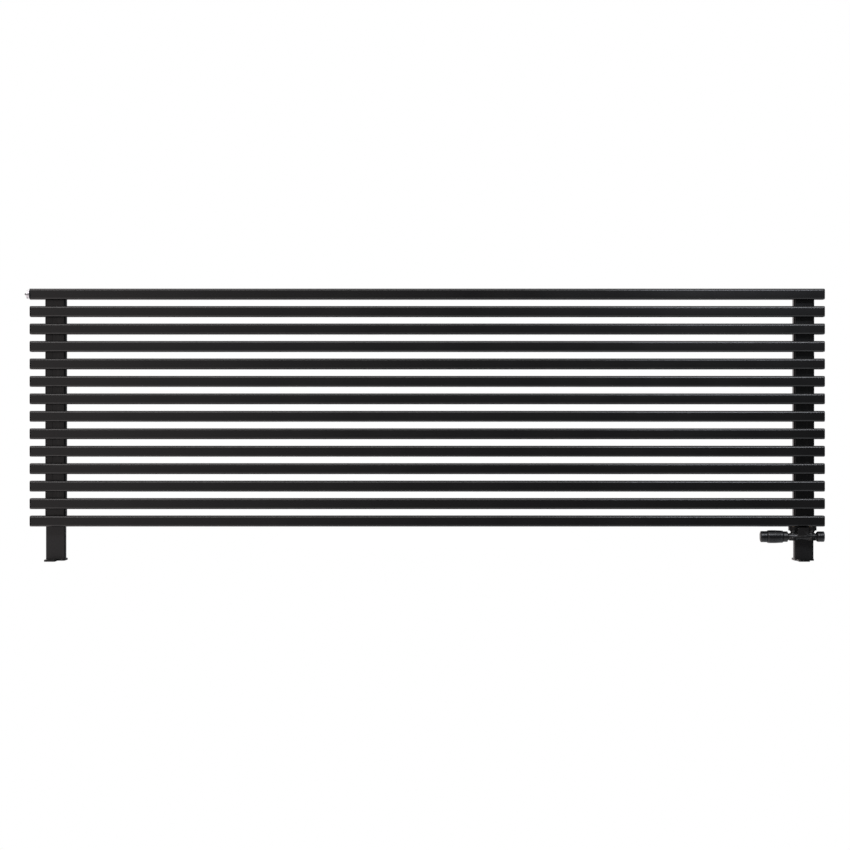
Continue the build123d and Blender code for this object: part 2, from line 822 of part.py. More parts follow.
def foot_plate(x):
    """A foot: a plate under the leg and a toe that reaches forward between the two pipes."""
    hole_x = x - collector_shift
    toe_half = port_pitch / 2 - pipe_radius - pipe_clearance
    plate_front = bar_y + pipe_radius + pipe_clearance
    plate = Pos(x, (plate_front + foot_length / 2) / 2) * RectangleRounded(
        leg_width, foot_length / 2 - plate_front, foot_corner
    )
    toe = Pos(hole_x, 0) * RectangleRounded(2 * toe_half, foot_length, foot_corner)
    made = extrude(plate + toe, foot_thickness)
    for side in (-1, 1):
        made -= Pos(hole_x, side * anchor_pitch / 2, 0) * post(0, foot_thickness, anchor_hole_radius)
    return made


def write(name, *solids):
    """Write one node: a single solid, or a group of separate ones."""
    shape = solids[0]
    if len(solids) > 1:
        shape = Compound(children=[solid for part in solids for solid in part.solids()])
    export_step(shape, f"parts/{name}.step")


def main():
    """Write every piece of the radiator."""
    os.makedirs("parts", exist_ok=True)
    numbers = range(1, bar_count + 1)
    for number in numbers:
        write(f"bar_{number:02d}", bar(number))
    write("bar_end_caps_left", *[bar_cap(number, -1) for number in numbers if number > 1])
    write("bar_end_caps_right", *[bar_cap(number, 1) for number in numbers])
    write("collector_left", collector(left_collector_x))
    write("collector_right", collector(right_collector_x))
    write("collector_end_plates", *collector_plates())
    write("bottom_bar_divider", divider())

    leg_places = {"left": left_collector_x, "right": right_collector_x}
    for side, x in leg_places.items():
        write(f"leg_{side}", leg(x))
        write(f"foot_plate_{side}", foot_plate(x))
    write("leg_spigots", *[leg_spigot(x) for x in leg_places.values()])
    screws = [leg_screw(x, z) for x in leg_places.values() for z in screw_heights()]
    write("leg_screws", *screws)

    for name, x in zip(("supply", "return"), port_places()):
        write(f"{name}_tail", tail(x))
        write(f"{name}_union_nut", union_nut(x))
    write("bottom_bar_sockets", *[socket(x) for x in port_places()])
    write("union_gaskets", *[union_gasket(x) for x in port_places()])

    block_place = Pos(valve_x, bar_y, axis_z)
    write("valve_block", block_place * valve_block())

    thermostatic = {
        "thermo_insert": thermo_insert,
        "thermo_gland": thermo_gland,
        "thermo_spring_seat": thermo_spring_seat,
        "thermo_pin": thermo_pin,
        "thermo_washer": thermo_washer,
        "thermo_spring": thermo_spring,
        "head_collar": head_collar,
        "head_core": head_core,
        "head_retainer": head_retainer,
        "head_pusher": head_pusher,
        "head_sensor": head_sensor,
        "head_overtravel_spring": head_overtravel_spring,
        "head_carrier": head_carrier,
        "head_grip": head_grip,
        "head_tip": head_tip,
    }
    for name, make in thermostatic.items():
        write(name, block_place * Rot(0, 0, 180) * make())

    lockshield = {
        "lockshield_insert": lockshield_insert,
        "lockshield_seal": lockshield_seal,
        "lockshield_spindle": lockshield_spindle,
        "lockshield_clip": lockshield_clip,
        "lockshield_disc": lockshield_disc,
        "lockshield_cap": lockshield_cap,
    }
    for name, make in lockshield.items():
        write(name, block_place * make())

    vent_place = Pos(bars_left, bar_y, bar_bottom_z(1) + bar_side / 2) * Rot(0, 0, 180)
    write("vent_end_cap", vent_end_cap())
    vent = {
        "vent_gasket": vent_gasket_ring,
        "vent_body": vent_body,
        "vent_swivel_collar": vent_swivel_collar,
        "vent_bleed_screw": vent_bleed_screw,
    }
    for name, make in vent.items():
        write(name, vent_place * make())


main()
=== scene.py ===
"""Dresses the horizontal radiator: finishes, rounded bars, welds, ribbed grip, dial and studio."""

import json
import math

import bmesh
import bpy
from mathutils import Matrix, Vector


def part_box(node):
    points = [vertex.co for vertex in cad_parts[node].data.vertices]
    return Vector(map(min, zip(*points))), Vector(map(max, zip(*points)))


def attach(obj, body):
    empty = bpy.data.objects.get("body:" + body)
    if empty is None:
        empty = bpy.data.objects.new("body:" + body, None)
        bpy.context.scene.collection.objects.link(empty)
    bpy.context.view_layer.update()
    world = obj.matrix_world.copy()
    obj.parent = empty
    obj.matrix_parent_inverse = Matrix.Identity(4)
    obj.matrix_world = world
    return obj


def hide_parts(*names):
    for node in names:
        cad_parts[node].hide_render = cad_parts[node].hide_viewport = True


bl_info = {
    "name": "Horizontal Radiator",
    "version": (1, 0, 0),
    "blender": (4, 5, 0),
    "location": "View3D > Sidebar > Radiator",
    "description": "Dresses a long tube radiator: finishes, welds, valve details and studio",
    "category": "Add Mesh",
}

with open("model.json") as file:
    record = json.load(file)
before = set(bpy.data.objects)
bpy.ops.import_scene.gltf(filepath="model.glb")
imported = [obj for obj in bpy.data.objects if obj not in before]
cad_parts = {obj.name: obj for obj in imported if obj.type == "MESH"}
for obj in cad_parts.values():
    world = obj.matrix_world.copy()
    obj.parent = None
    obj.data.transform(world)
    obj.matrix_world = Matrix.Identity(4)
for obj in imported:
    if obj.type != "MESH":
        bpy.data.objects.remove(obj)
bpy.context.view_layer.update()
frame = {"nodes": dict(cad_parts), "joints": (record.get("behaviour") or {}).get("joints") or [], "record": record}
BAR_NODES = sorted(
    name for name in frame["nodes"] if name.startswith("bar_") and name[4:].isdigit()
)
DARK = (0.0036, 0.0036, 0.0038, 1.0)
ANTHRACITE = (0.0070, 0.0068, 0.0070, 1.0)
# The legs get a lighter copy of the powder coat: painted light that makes up for the shade on the right leg.
LEG_PAINTED_LIGHT_GREY = (0.0115, 0.0115, 0.0118, 1.0)
GRIP_BLACK = (0.0060, 0.0060, 0.0070, 1.0)
VENT_SILVER = (0.50, 0.50, 0.52, 1.0)
INNER_IVORY = (0.60, 0.60, 0.58, 1.0)
STEEL = (0.45, 0.45, 0.45, 1.0)
SCREW_BLACK = (0.03, 0.03, 0.032, 1.0)
BRASS = (0.72, 0.52, 0.24, 1.0)
RUBBER = (0.02, 0.02, 0.02, 1.0)
DUST = (0.16, 0.155, 0.15, 1.0)
CLOUD_RANGE = (0.3, 0.7)

FLOOR_PLACE = (0.0, 1.2, 0.0)
FLOOR_SIZE = (9.0, 5.0, 1.0)
FLOOR_TONE = (0.72, 0.72, 0.72, 1.0)
FLOOR_GLOW = 0.78
HORIZON_LEVEL = 0.10
LEFT_WALL_LEVEL = 0.85
WHITE = (1.0, 1.0, 1.0)
WARM = (1.0, 0.91, 0.90)
COOL = (0.90, 0.95, 1.0)

MERGE_DISTANCE = 0.000002
CREASE_DEG = 40.0
WELD_CREASE_DEG = 50.0

# A ripple's crest and dip: its place along the ripple, and a share of the bead's radius.
WELD_RIPPLE = ((0.35, 1.0), (0.95, 0.86))
# A bead's centre: shares of its radius off the faces it joins, and of the bar's corner.
BAR_WELD_FORWARD = 0.6
BAR_WELD_INWARD = 0.42
FOOT_WELD_OFF = 0.3

# The grip's two ends: distance from the end, and the step out from the radius there.
GRIP_DIAL_STEPS = (
    (0.0, -0.0018), (0.0004, -0.0008), (0.0013, -0.0002), (0.0024, 0.0),
    (0.0078, 0.0001), (0.0082, 0.0003), (0.0094, 0.0004),
)
GRIP_OUTER_STEPS = (
    (0.0052, -0.0001), (0.0042, -0.0002), (0.0014, -0.0005), (0.0004, -0.0011), (0.0, -0.0022),
)
GRIP_PEAK = 0.55
GRIP_TAPER = 0.0011
RIB_EDGE = 0.0003
GRIP_COLUMNS = 108
COLUMNS_TO_A_RIB = 3
DIAL_NUMBERS = ("1", "2", "3", "4", "5")
DIAL_FROM_END = 0.0052
DIAL_MARK_DEG = 38.0
DIAL_MARK_SIZE = (0.0052, 0.0011, 0.0010)
DIAL_MARK_EDGE = 0.0003
DIAL_MARK_FROM_END = 0.0044
TEXT_TO_HEIGHT = 1.35

# The tip's inner end, and the steps of one groove round it.
TIP_STEPS = ((0.0, -0.0009), (0.0005, -0.0002), (0.0012, 0.0))
TIP_GROOVES = (0.0052, 0.0074, 0.0096)
GROOVE_STEPS = ((0.0, 0.0), (0.0002, -0.0005), (0.0008, -0.0005), (0.0010, 0.0))
TIP_EDGE = 0.0034

# The cap's open end, with one groove.
CAP_STEPS = (
    (0.0, -0.0034), (0.0005, -0.0028), (0.0032, -0.0004), (0.0042, 0.0),
    (0.0090, 0.0), (0.0092, -0.0004), (0.0100, -0.0004), (0.0102, 0.0),
)
CAP_EDGE = 0.0022

# The hollows in both ends: distance in from the end, and a share of the radius.
TIP_HOLLOW = ((0.0, 0.62), (0.0004, 0.58), (0.0005, 0.2))
CAP_HOLLOW = ((0.0, 0.70), (0.0006, 0.66), (0.0006, 0.2))

# The studio's lamps: name, place, target, size, power and colour.
LAMPS = (
    ("front_panel", (0.0, -2.6, 2.5), (0.0, 0.0, 0.4), (5.0, 0.6), 44.0, WHITE),
    ("valve_panel", (1.05, -1.5, 1.3), (0.95, 0.0, 0.1), (0.7, 0.3), 9.0, (0.86, 0.90, 1.0)),
    ("top_panel", (0.0, -0.2, 3.2), (0.0, 0.0, 0.4), (4.4, 1.6), 24.0, WHITE),
)


class RadiatorSizes(bpy.types.PropertyGroup):
    """Sizes of the details that are added to the construction."""

    bar_corner: bpy.props.FloatProperty(
        name="Bar corner", description="Radius of the long edges of a bar",
        default=0.006, unit="LENGTH",
    )
    seam: bpy.props.FloatProperty(
        name="Cap seam", description="Width of the groove where an end cap meets its bar",
        default=0.0005, unit="LENGTH",
    )
    cap_rim: bpy.props.FloatProperty(
        name="Cap rim", description="Bevel round the outer face of an end cap",
        default=0.0022, unit="LENGTH",
    )
    weld_radius: bpy.props.FloatProperty(
        name="Weld radius", description="Radius of a weld bead",
        default=0.0019, unit="LENGTH",
    )
    weld_step: bpy.props.FloatProperty(
        name="Weld ripple", description="Length of one ripple of a weld bead",
        default=0.0016, unit="LENGTH",
    )
    rib_depth: bpy.props.FloatProperty(
        name="Rib depth", description="Depth of the grooves between the grip's ribs",
        default=0.0006, unit="LENGTH",
    )
    number_height: bpy.props.FloatProperty(
        name="Number height", description="Height of the dial's numbers",
        default=0.0042, unit="LENGTH",
    )
    relief: bpy.props.FloatProperty(
        name="Relief", description="How far the numbers stand out",
        default=0.0003, unit="LENGTH",
    )


class RadiatorFinishes(bpy.types.PropertyGroup):
    """Colours of the finishes."""

    coat: bpy.props.FloatVectorProperty(
        name="Powder coat", description="Colour of bars, collectors and legs",
        subtype="COLOR", size=4, default=DARK, min=0.0, max=1.0,
    )
    # A lighter copy of the powder coat for the legs: painted light, standing in for the light the right leg lacks.
    legs: bpy.props.FloatVectorProperty(
        name="Leg coat", description="Colour of the legs, a touch lighter than the bars",
        subtype="COLOR", size=4, default=LEG_PAINTED_LIGHT_GREY, min=0.0, max=1.0,
    )
    valve: bpy.props.FloatVectorProperty(
        name="Valve paint", description="Colour of the block and its nuts",
        subtype="COLOR", size=4, default=ANTHRACITE, min=0.0, max=1.0,
    )
    plastic: bpy.props.FloatVectorProperty(
        name="Grip plastic", description="Colour of the grip and the cap",
        subtype="COLOR", size=4, default=GRIP_BLACK, min=0.0, max=1.0,
    )
    plating: bpy.props.FloatVectorProperty(
        name="Vent plating", description="Colour of the air vent",
        subtype="COLOR", size=4, default=VENT_SILVER, min=0.0, max=1.0,
    )


def sizes():
    """The user's sizes."""
    return bpy.context.scene.radiator_sizes


def finishes():
    """The user's colours."""
    return bpy.context.scene.radiator_finishes


def new_group(name, inputs, outputs):
    """An empty shader group with number sockets, and its nodes at both ends."""
    group = bpy.data.node_groups.new(name, "ShaderNodeTree")
    for label, value in inputs:
        socket = group.interface.new_socket(label, in_out="INPUT", socket_type="NodeSocketFloat")
        socket.default_value = value
    for label in outputs:
        group.interface.new_socket(label, in_out="OUTPUT", socket_type="NodeSocketFloat")
    return group, group.nodes.new("NodeGroupInput"), group.nodes.new("NodeGroupOutput")


def link_noise(tree, coordinates, scale, detail=3.0):
    """A noise texture on the given coordinates. Scale is a number or a socket."""
    noise = tree.nodes.new("ShaderNodeTexNoise")
    noise.inputs["Detail"].default_value = detail
    tree.links.new(coordinates, noise.inputs["Vector"])
    if isinstance(scale, (int, float)):
        noise.inputs["Scale"].default_value = scale
    else:
        tree.links.new(scale, noise.inputs["Scale"])
    return noise.outputs["Fac"]


def link_math(tree, operation, first, second):
    """A math node on two values, each a number or a socket."""
    node = tree.nodes.new("ShaderNodeMath")
    node.operation = operation
    for socket, value in zip(node.inputs, (first, second)):
        if isinstance(value, (int, float)):
            socket.default_value = value
        else:
            tree.links.new(value, socket)
    return node.outputs[0]


def link_range(tree, value, low, high, new_low, new_high):
    """Maps a value from one range to another, clamped."""
    node = tree.nodes.new("ShaderNodeMapRange")
    tree.links.new(value, node.inputs["Value"])
    numbers = {"From Min": low, "From Max": high, "To Min": new_low, "To Max": new_high}
    for label, number in numbers.items():
        node.inputs[label].default_value = number
    return node.outputs["Result"]


def fine_texture_group():
    """Orange peel or moulded grain: a height, and a cloudy mask for tone and gloss."""
    inputs = [("Grain scale", 900.0), ("Cloud scale", 6.0)]
    group, start, end = new_group("Fine texture", inputs, ["Height", "Cloud"])
    place = group.nodes.new("ShaderNodeTexCoord").outputs["Object"]
    grain = link_noise(group, place, start.outputs["Grain scale"], 4.0)
    wave_scale = link_math(group, "MULTIPLY", start.outputs["Grain scale"], 0.22)
    wave = link_math(group, "MULTIPLY", link_noise(group, place, wave_scale, 1.0), 0.6)
    height = link_math(group, "ADD", wave, link_math(group, "MULTIPLY", grain, 0.4))
    group.links.new(height, end.inputs["Height"])
    group.links.new(link_noise(group, place, start.outputs["Cloud scale"]), end.inputs["Cloud"])
    return group


def settled_dust_group():
    """A thin patchy film on faces that look up."""
    group, start, end = new_group("Settled dust", [("Amount", 0.5)], ["Dust"])
    normal = group.nodes.new("ShaderNodeNewGeometry").outputs["Normal"]
    split = group.nodes.new("ShaderNodeSeparateXYZ")
    group.links.new(normal, split.inputs[0])
    place = group.nodes.new("ShaderNodeTexCoord").outputs["Object"]
    patches = link_range(group, link_noise(group, place, 45.0, 6.0), 0.35, 0.75, 0.2, 1.0)
    upward = link_range(group, split.outputs["Z"], 0.55, 1.0, 0.0, 1.0)
    film = link_math(group, "MULTIPLY", patches, upward)
    group.links.new(link_math(group, "MULTIPLY", film, start.outputs["Amount"]), end.inputs["Dust"])
    return group


def finish_name(slot):
    """The name of a slot's finish, apart from the plain material that the frame brings."""
    return f"{slot}_finish"


def finish(
    name, colour, roughness, grain, relief, tone=0.25, gloss=0.08, metallic=0.0, dust=0.0, shine=0.5
):
    """The material of a slot, with fine grain, cloudy tone and gloss, and a film of dust on top."""
    material = bpy.data.materials.new(finish_name(name))
    material.use_nodes = True
    tree = material.node_tree
    shader = tree.nodes["Principled BSDF"]
    shader.inputs["Metallic"].default_value = metallic
    shader.inputs["Specular IOR Level"].default_value = shine
    texture = tree.nodes.new("ShaderNodeGroup")
    texture.node_tree = bpy.data.node_groups["Fine texture"]
    texture.inputs["Grain scale"].default_value = grain
    lighter = tuple(channel * (1.0 + tone) for channel in colour[:3]) + (1.0,)
    darker = tuple(channel * (1.0 - tone) for channel in colour[:3]) + (1.0,)
    cloud = link_range(tree, texture.outputs["Cloud"], *CLOUD_RANGE, 0.0, 1.0)
    tones = tree.nodes.new("ShaderNodeMix")
    tones.data_type = "RGBA"
    tones.inputs["A"].default_value = darker
    tones.inputs["B"].default_value = lighter
    tree.links.new(cloud, tones.inputs["Factor"])
    base = tones.outputs["Result"]
    glossiest, roughest = roughness - gloss / 2, roughness + gloss / 2
    rough = link_range(tree, texture.outputs["Cloud"], *CLOUD_RANGE, glossiest, roughest)
    if dust:
        film = tree.nodes.new("ShaderNodeGroup")
        film.node_tree = bpy.data.node_groups["Settled dust"]
        film.inputs["Amount"].default_value = dust
        dusty = tree.nodes.new("ShaderNodeMix")
        dusty.data_type = "RGBA"
        dusty.inputs["B"].default_value = DUST
        tree.links.new(film.outputs["Dust"], dusty.inputs["Factor"])
        tree.links.new(base, dusty.inputs["A"])
        base = dusty.outputs["Result"]
        dulled = link_math(tree, "MULTIPLY", film.outputs["Dust"], 0.6)
        rough = link_math(tree, "ADD", rough, dulled)
    tree.links.new(base, shader.inputs["Base Color"])
    tree.links.new(rough, shader.inputs["Roughness"])
    bump = tree.nodes.new("ShaderNodeBump")
    bump.inputs["Strength"].default_value = 0.35
    bump.inputs["Distance"].default_value = relief
    tree.links.new(texture.outputs["Height"], bump.inputs["Height"])
    tree.links.new(bump.outputs["Normal"], shader.inputs["Normal"])
    return material


def make_finishes():
    """A material for each slot. Roughness, grain scale and relief follow the colour."""
    fine_texture_group()
    settled_dust_group()
    colours = finishes()
    finish("powder_coat", colours.coat, 0.23, 900.0, 0.00007, tone=0.12, gloss=0.04, dust=0.006)
    # The same powder coat made lighter: painted light on the legs.
    finish("leg_painted_light", colours.legs, 0.23, 900.0, 0.00007, tone=0.12, gloss=0.04, dust=0.006)
    finish("valve_paint", colours.valve, 0.27, 1500.0, 0.00008, dust=0.006, shine=0.38)
    finish("black_plastic", colours.plastic, 0.27, 2600.0, 0.00005, dust=0.006, shine=0.36)
    finish("inner_plastic", INNER_IVORY, 0.45, 2600.0, 0.00008, tone=0.04)
    finish("plain_steel", STEEL, 0.32, 1800.0, 0.00008, tone=0.1, metallic=1.0)
    finish("black_screws", SCREW_BLACK, 0.35, 2400.0, 0.00006, metallic=0.6)
    finish("brass", BRASS, 0.28, 2200.0, 0.00006, tone=0.1, metallic=1.0)
    finish("seal_rubber", RUBBER, 0.7, 2800.0, 0.00010)
    finish(
        "vent_chrome", colours.plating, 0.24, 1200.0, 0.00001, tone=0.03, gloss=0.05, metallic=1.0
    )


def slot_of(node):
    """The record's material slot of a node."""
    parts = frame["record"]["subparts"]
    return next(part["material_slot"] for part in parts if part["node"] == node)


def body_of(node):
    """The body that a node belongs to."""
    groups = frame["record"]["behaviour"]["bodies"]
    return next(body for body, members in groups.items() if node in members)


def dress(piece, node, *replaced):
    """Gives a piece the finish of a node's slot and the node's body, and hides the nodes it stands for."""
    piece.data.materials.clear()
    piece.data.materials.append(bpy.data.materials[finish_name(slot_of(node))])
    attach(piece, body_of(node))
    if replaced:
        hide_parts(*replaced)
    return piece


def only(piece):
    """Selects one piece and makes it active."""
    bpy.ops.object.select_all(action="DESELECT")
    piece.select_set(True)
    bpy.context.view_layer.objects.active = piece


def added(name):
    """Names the primitive that was just added and puts its place into its mesh."""
    piece = bpy.context.object
    piece.name = piece.data.name = name
    only(piece)
    bpy.ops.object.transform_apply(location=True, rotation=True, scale=True)
    return piece


def select_where(piece, kind, test):
    """In edit mode, selects the faces or edges whose middle and element pass the test."""
    bpy.ops.mesh.select_mode(type=kind)
    bpy.ops.mesh.select_all(action="DESELECT")
    shape = bmesh.from_edit_mesh(piece.data)
    shape.normal_update()
    for item in shape.faces if kind == "FACE" else shape.edges:
        middle = sum((vert.co for vert in item.verts), Vector()) / len(item.verts)
        item.select_set(test(middle, item))
    bmesh.update_edit_mesh(piece.data)


def smooth(piece, angle=32.0, weighted=True):
    """Smooth shading up to an angle, with flat faces kept flat."""
    only(piece)
    bpy.ops.object.shade_smooth_by_angle(angle=math.radians(angle))
    if weighted:
        piece.modifiers.new("flat faces", "WEIGHTED_NORMAL").keep_sharp = True
        bpy.ops.object.modifier_apply(modifier="flat faces")
    return piece


def copied(piece, name, offset):
    """A copy with its own mesh, moved by an offset."""
    mesh = piece.data.copy()
    mesh.transform(Matrix.Translation(offset))
    copy = bpy.data.objects.new(name, mesh)
    bpy.context.scene.collection.objects.link(copy)
    return copy


def joined(pieces, name):
    """Joins pieces into one object."""
    bpy.ops.object.select_all(action="DESELECT")
    for piece in pieces:
        piece.select_set(True)
    bpy.context.view_layer.objects.active = pieces[0]
    bpy.ops.object.join()
    pieces[0].name = pieces[0].data.name = name
    return pieces[0]


def from_construction(node):
    """A merged and smoothed copy of a node's mesh, which stands for the node."""
    piece = bpy.data.objects.new(f"{node}_finished", frame["nodes"][node].data.copy())
    bpy.context.scene.collection.objects.link(piece)
    only(piece)
    bpy.ops.object.mode_set(mode="EDIT")
    bpy.ops.mesh.select_all(action="SELECT")
    bpy.ops.mesh.remove_doubles(threshold=MERGE_DISTANCE)
    bpy.ops.object.mode_set(mode="OBJECT")
    return dress(smooth(piece), node, node)


def rounded_block(name, low, high, corner, long_axis, rims):
    """A block with rounded edges along one axis and a bevel round its low end and its high end."""
    middle = (low + high) / 2
    bpy.ops.object.select_all(action="DESELECT")
    bpy.ops.mesh.primitive_cube_add(size=1.0, location=middle, scale=high - low)
    piece = added(name)
    bpy.ops.object.mode_set(mode="EDIT")

    def runs_along(_, edge):
        step = edge.verts[0].co - edge.verts[1].co
        return abs(step[long_axis]) > 0.9 * step.length

    select_where(piece, "EDGE", runs_along)
    bpy.ops.mesh.bevel(offset=corner, segments=7, affect="EDGES")

    def lies_at_the_end(_, edge):
        return all(abs(vert.co[long_axis] - end) < 1e-6 for vert in edge.verts)

    for end, rim in zip((low[long_axis], high[long_axis]), rims):
        select_where(piece, "EDGE", lies_at_the_end)
        bpy.ops.mesh.bevel(offset=rim, segments=3, affect="EDGES")
    bpy.ops.object.mode_set(mode="OBJECT")
    return smooth(piece, CREASE_DEG)


def turned(name, steps, centre, direction, vertices=72):
    """A closed turned shape along X. Steps are pairs of distance outwards and radius."""
    distance, radius = steps[0]
    place = centre + Vector((direction * distance, 0, 0))
    bpy.ops.object.select_all(action="DESELECT")
    bpy.ops.mesh.primitive_circle_add(
        vertices=vertices, radius=radius, fill_type="NGON",
        location=place, rotation=(0, math.pi / 2, 0),
    )
    piece = added(name)
    bpy.ops.object.mode_set(mode="EDIT")
    bpy.ops.mesh.select_all(action="SELECT")
    for new_distance, new_radius in steps[1:]:
        move = (direction * (new_distance - distance), 0, 0)
        bpy.ops.mesh.extrude_region_move(TRANSFORM_OT_translate={"value": move})
        scale = new_radius / radius
        middle = centre + Vector((direction * new_distance, 0, 0))
        bpy.ops.transform.resize(value=(1, scale, scale), center_override=middle)
        distance, radius = new_distance, new_radius
    bpy.ops.mesh.select_all(action="SELECT")
    bpy.ops.mesh.normals_make_consistent(inside=False)
    bpy.ops.object.mode_set(mode="OBJECT")
    return piece


def weld_bead(name, middle, length):
    """A rippled weld bead along X."""
    step = sizes().weld_step
    radius = sizes().weld_radius
    count = max(4, round(length / step))
    steps = [(0.0, radius * 0.45)]
    for ripple in range(count):
        for place, share in WELD_RIPPLE:
            steps.append(((ripple + place) * length / count, radius * share))
    steps.append((length + radius * 0.2, radius * 0.4))
    piece = turned(name, steps, middle - Vector((length / 2, 0, 0)), 1, vertices=10)
    return smooth(piece, WELD_CREASE_DEG, weighted=False)


def rounded_rim(end, radius, edge, count):
    """Steps round a quarter circle that ends a turned shape, in a number of parts."""
    steps = [(end - edge, radius)]
    for turn in range(1, count):
        angle = turn / count * math.pi / 2
        along = end - edge + edge * math.sin(angle)
        steps.append((along, radius - edge + edge * math.cos(angle)))
    steps.append((end, radius - edge))
    return steps


def valve_axis():
    """The point where the valve's axis meets the middle of the block."""
    nut_low, nut_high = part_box("supply_union_nut")
    other_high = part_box("return_union_nut")[1]
    grip_low, grip_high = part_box("head_grip")
    return Vector((
        (nut_low.x + other_high.x) / 2,
        (nut_low.y + nut_high.y) / 2,
        (grip_low.z + grip_high.z) / 2,
    ))


class RADIATOR_OT_bars(bpy.types.Operator):
    """Rounded bars with a fine seam at both ends"""

    bl_idname = "radiator.bars"
    bl_label = "Bars"

    def execute(self, context):
        low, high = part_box(BAR_NODES[0])
        seams = (sizes().seam, sizes().seam)
        first = rounded_block("bar_01_tube", low, high, sizes().bar_corner, 0, seams)
        tubes = [first]
        for node in BAR_NODES[1:]:
            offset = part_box(node)[0] - low
            tubes.append(copied(first, f"{node}_tube", offset))
        for node, tube in zip(BAR_NODES, tubes):
            dress(tube, node, node)
        return {"FINISHED"}


class RADIATOR_OT_end_caps(bpy.types.Operator):
    """Flush plates at the ends of the bars"""

    bl_idname = "radiator.end_caps"
    bl_label = "End caps"

    def execute(self, context):
        for node, bars in (("bar_end_caps_left", BAR_NODES[1:]), ("bar_end_caps_right", BAR_NODES)):
            right = node.endswith("right")
            bar_low, bar_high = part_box(bars[0])
            cap_low, cap_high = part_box(node)
            low = Vector((bar_high.x if right else cap_low.x, bar_low.y, bar_low.z))
            high = Vector((cap_high.x if right else bar_low.x, bar_high.y, bar_high.z))
            rims = (sizes().seam, sizes().cap_rim) if right else (sizes().cap_rim, sizes().seam)
            first = rounded_block(f"{node}_plates", low, high, sizes().bar_corner, 0, rims)
            plates = [first]
            for other in bars[1:]:
                plates.append(copied(first, f"{other}_plate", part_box(other)[0] - bar_low))
            dress(joined(plates, f"{node}_plates"), node, node)
        from_construction("vent_end_cap")
        return {"FINISHED"}


class RADIATOR_OT_collectors(bpy.types.Operator):
    """Upright collectors with their end plates"""

    bl_idname = "radiator.collectors"
    bl_label = "Collectors"

    def execute(self, context):
        for node in ("collector_left", "collector_right", "collector_end_plates"):
            from_construction(node)
        return {"FINISHED"}


class RADIATOR_OT_welds(bpy.types.Operator):
    """Weld beads between the bars and the collectors, and round the legs' feet"""

    bl_idname = "radiator.welds"
    bl_label = "Welds"

    def execute(self, context):
        radius = sizes().weld_radius
        corner = sizes().bar_corner
        for side in ("left", "right"):
            low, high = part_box(f"collector_{side}")
            length = high.x - low.x - 4 * corner
            middle_x = (low.x + high.x) / 2
            bead = weld_bead(f"bar_welds_{side}", Vector((middle_x, 0, 0)), length)
            beads = []
            for node in BAR_NODES:
                bar_low, bar_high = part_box(node)
                for edge, inwards in ((bar_high.z, -1), (bar_low.z, 1)):
                    forward = bar_high.y - radius * BAR_WELD_FORWARD
                    level = edge + inwards * corner * BAR_WELD_INWARD
                    beads.append(copied(bead, f"{node}_weld", Vector((0, forward, level))))
            bpy.data.objects.remove(bead)
            dress(joined(beads, f"bar_welds_{side}"), f"collector_{side}")

            leg_low, leg_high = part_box(f"leg_{side}")
            foot_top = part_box(f"foot_plate_{side}")[1].z
            level = foot_top + radius * FOOT_WELD_OFF
            leg_middle = (leg_low + leg_high) / 2
            place = Vector((leg_middle.x, leg_high.y + radius * FOOT_WELD_OFF, level))
            bead = weld_bead(f"foot_weld_{side}", place, leg_high.x - leg_low.x - 2 * corner)
            dress(bead, f"leg_{side}")
        return {"FINISHED"}


class RADIATOR_OT_legs(bpy.types.Operator):
    """Legs, foot plates and their screws"""

    bl_idname = "radiator.legs"
    bl_label = "Legs"

    def execute(self, context):
        for node in ("foot_plate_left", "foot_plate_right", "leg_screws"):
            from_construction(node)
        for node in ("leg_left", "leg_right"):
            # The legs take the lighter copy of the coat, which is painted light.
            from_construction(node).data.materials[0] = bpy.data.materials[finish_name("leg_painted_light")]
        return {"FINISHED"}


class RADIATOR_OT_valve(bpy.types.Operator):
    """The valve block, its unions and its lockshield parts"""

    bl_idname = "radiator.valve"
    bl_label = "Valve block"

    def execute(self, context):
        nodes = (
            "valve_block", "supply_union_nut", "return_union_nut", "supply_tail", "return_tail",
            "head_collar", "lockshield_insert", "lockshield_spindle", "lockshield_clip",
        )
        for node in nodes:
            from_construction(node)
        return {"FINISHED"}


